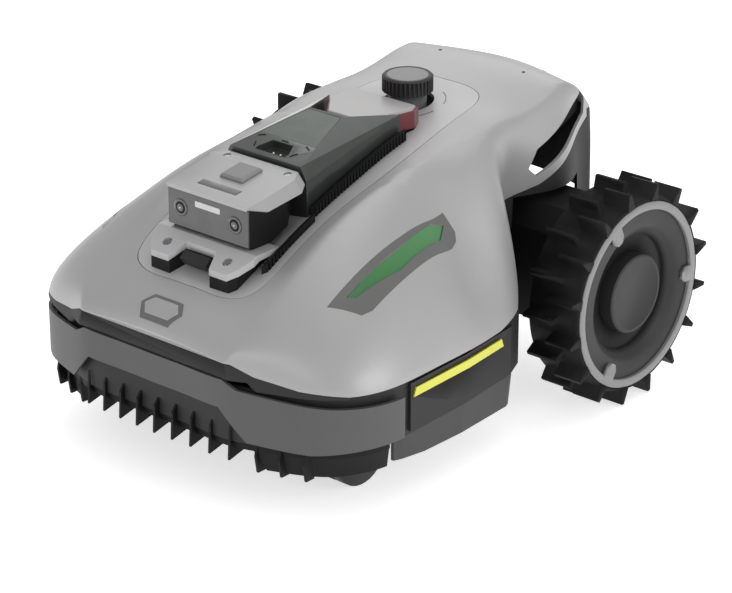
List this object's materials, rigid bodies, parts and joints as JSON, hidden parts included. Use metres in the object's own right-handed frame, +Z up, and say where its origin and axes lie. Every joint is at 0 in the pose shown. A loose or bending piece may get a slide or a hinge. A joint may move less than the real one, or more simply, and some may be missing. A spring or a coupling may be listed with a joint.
{
  "type": "robotic lawn mower",
  "caption": "Low wedge-shaped robotic mower with lugged rear drive wheels, swivelling front casters, sprung bumper with comb, camera module, stop key and height knob.",
  "frame": {"origin": "centre of the outline on the ground plane", "axes": "+Z up, front of the mower faces -Y, its left side is +X"},
  "size_m": [0.408, 0.4954, 0.276],
  "materials": {
    "shell_silver": "satin moulded plastic, light silver grey",
    "insert_silver": "satin moulded plastic",
    "mid_grey": "fine matt texture",
    "dark_grey": "fine matt texture",
    "black": "matt",
    "sill_grey": "fine matt texture",
    "reflector": "bright yellow, glossy",
    "green_lens": "translucent green",
    "bezel": "satin grey",
    "tyre": "matt rubber",
    "ring_grey": "matt",
    "wheel_dark": "fine matt texture",
    "steel": "ground",
    "buffer_rubber": "soft rubber",
    "alloy": "satin",
    "hood_silver": "satin silver",
    "board_green": "solder mask",
    "battery_blue": "wrapped cell pack",
    "face_grey": "glossy dark grey",
    "lens_glass": "clear glass",
    "light_white": "frosted diffuser",
    "display_glass": "tinted glass",
    "pod_black": "gloss black",
    "stop_pale": "satin pale grey",
    "key_grey": "matt grey",
    "knob_black": "soft-touch",
    "post_grey": "matt grey"
  },
  "bodies": {
    "body": {"base_screws": "steel", "battery": "battery_blue", "bracket_pad": "black", "bumper_buffers": "buffer_rubber", "camera_bracket": "hood_silver", "camera_face": "face_grey", "camera_hood": "hood_silver", "camera_housing": "black", "camera_lenses": "lens_glass", "camera_light": "light_white", "camera_screws": "steel", "chassis": "black", "control_board": "board_green", "drive_motors": "alloy", "front_comb": "dark_grey", "gearboxes": "black", "grip_strips": "black", "headlight_bezels": "bezel", "headlight_lenses": "green_lens", "lower_sills": "sill_grey", "nose_lip": "dark_grey", "pod_glass": "display_glass", "pod_housing": "pod_black", "reflector_strips": "reflector", "side_panels": "dark_grey", "side_skirt": "dark_grey", "tail_cover": "dark_grey", "top_insert": "insert_silver", "upper_shell": "shell_silver", "wheel_bearings": "steel"},
    "bumper": {"front_bumper": "mid_grey"},
    "lift": {"lift_carriage": "black", "cutter_motor": "alloy"},
    "cutter": {"cutter_shaft": "steel", "cutting_disc": "steel", "skid_plate": "black", "blade_screws": "steel"},
    "stop_button": {"stop_key": "stop_pale"},
    "camera_button": {"camera_key": "key_grey"},
    "post": {"knob_post": "post_grey"},
    "knob": {"height_knob": "knob_black"},
    "wheel_left": {"tyre_left": "tyre", "wheel_ring_left": "ring_grey", "wheel_disc_left": "wheel_dark", "wheel_cap_left": "wheel_dark", "axle_left": "steel"},
    "caster_left": {"caster_fork_left": "black", "caster_axle_left": "steel"},
    "caster_roll_left": {"caster_wheel_left": "wheel_dark"},
    "wheel_right": {"tyre_right": "tyre", "wheel_ring_right": "ring_grey", "wheel_disc_right": "wheel_dark", "wheel_cap_right": "wheel_dark", "axle_right": "steel"},
    "caster_right": {"caster_fork_right": "black", "caster_axle_right": "steel"},
    "caster_roll_right": {"caster_wheel_right": "wheel_dark"},
    "blade_1": {"blade_1": "steel"},
    "blade_2": {"blade_2": "steel"},
    "blade_3": {"blade_3": "steel"}
  },
  "joints": [
    {"name": "wheel_left_spin", "type": "hinge", "parent": "body", "child": "wheel_left", "pos_m": [0.17, 0.1475, 0.1], "axis": [1, 0, 0], "continuous": true},
    {"name": "caster_left_swivel", "type": "hinge", "parent": "body", "child": "caster_left", "pos_m": [0.118, -0.15, 0.09], "axis": [0, 0, 1], "continuous": true},
    {"name": "caster_left_roll", "type": "hinge", "parent": "caster_left", "child": "caster_roll_left", "pos_m": [0.118, -0.135, 0.031], "axis": [1, 0, 0], "continuous": true},
    {"name": "wheel_right_spin", "type": "hinge", "parent": "body", "child": "wheel_right", "pos_m": [-0.17, 0.1475, 0.1], "axis": [1, 0, 0], "continuous": true},
    {"name": "caster_right_swivel", "type": "hinge", "parent": "body", "child": "caster_right", "pos_m": [-0.118, -0.15, 0.09], "axis": [0, 0, 1], "continuous": true},
    {"name": "caster_right_roll", "type": "hinge", "parent": "caster_right", "child": "caster_roll_right", "pos_m": [-0.118, -0.135, 0.031], "axis": [1, 0, 0], "continuous": true},
    {"name": "bumper_push", "type": "slide", "parent": "body", "child": "bumper", "axis": [0, 1, 0], "range_m": [0, 0.004], "stiffness_N_per_m": 900, "springref_m": -0.003, "deforming": ["bumper_buffers"]},
    {"name": "cutter_lift", "type": "slide", "parent": "body", "child": "lift", "axis": [0, 0, 1], "range_m": [-0.014, 0.022]},
    {"name": "cutter_spin", "type": "hinge", "parent": "lift", "child": "cutter", "pos_m": [0, -0.012, 0.05], "axis": [0, 0, 1], "continuous": true},
    {"name": "stop_press", "type": "slide", "parent": "body", "child": "stop_button", "axis": [0, 0, -1], "range_m": [0, 0.004], "stiffness_N_per_m": 700, "springref_m": -0.003},
    {"name": "camera_key_press", "type": "slide", "parent": "body", "child": "camera_button", "axis": [0, 0.1615, -0.9869], "range_m": [0, 0.002], "stiffness_N_per_m": 600, "springref_m": -0.002},
    {"name": "post_press", "type": "slide", "parent": "body", "child": "post", "axis": [0, 0, -1], "range_m": [0, 0.01], "stiffness_N_per_m": 400, "springref_m": -0.006},
    {"name": "knob_turn", "type": "hinge", "parent": "post", "child": "knob", "pos_m": [0, 0.074, 0.268], "axis": [0, 0, 1], "range_deg": [-110, 160]},
    {"name": "blade_1_swing", "type": "hinge", "parent": "cutter", "child": "blade_1", "pos_m": [0.08, -0.012, 0.042], "axis": [0, 0, 1], "range_deg": [-100, 100]},
    {"name": "blade_2_swing", "type": "hinge", "parent": "cutter", "child": "blade_2", "pos_m": [-0.04, 0.05728, 0.042], "axis": [0, 0, 1], "range_deg": [-100, 100]},
    {"name": "blade_3_swing", "type": "hinge", "parent": "cutter", "child": "blade_3", "pos_m": [-0.04, -0.08128, 0.042], "axis": [0, 0, 1], "range_deg": [-100, 100]}
  ],
  "couplings": [
    {"joint": "knob_turn", "follows": "cutter_lift", "rad_per_m": 120}
  ]
}
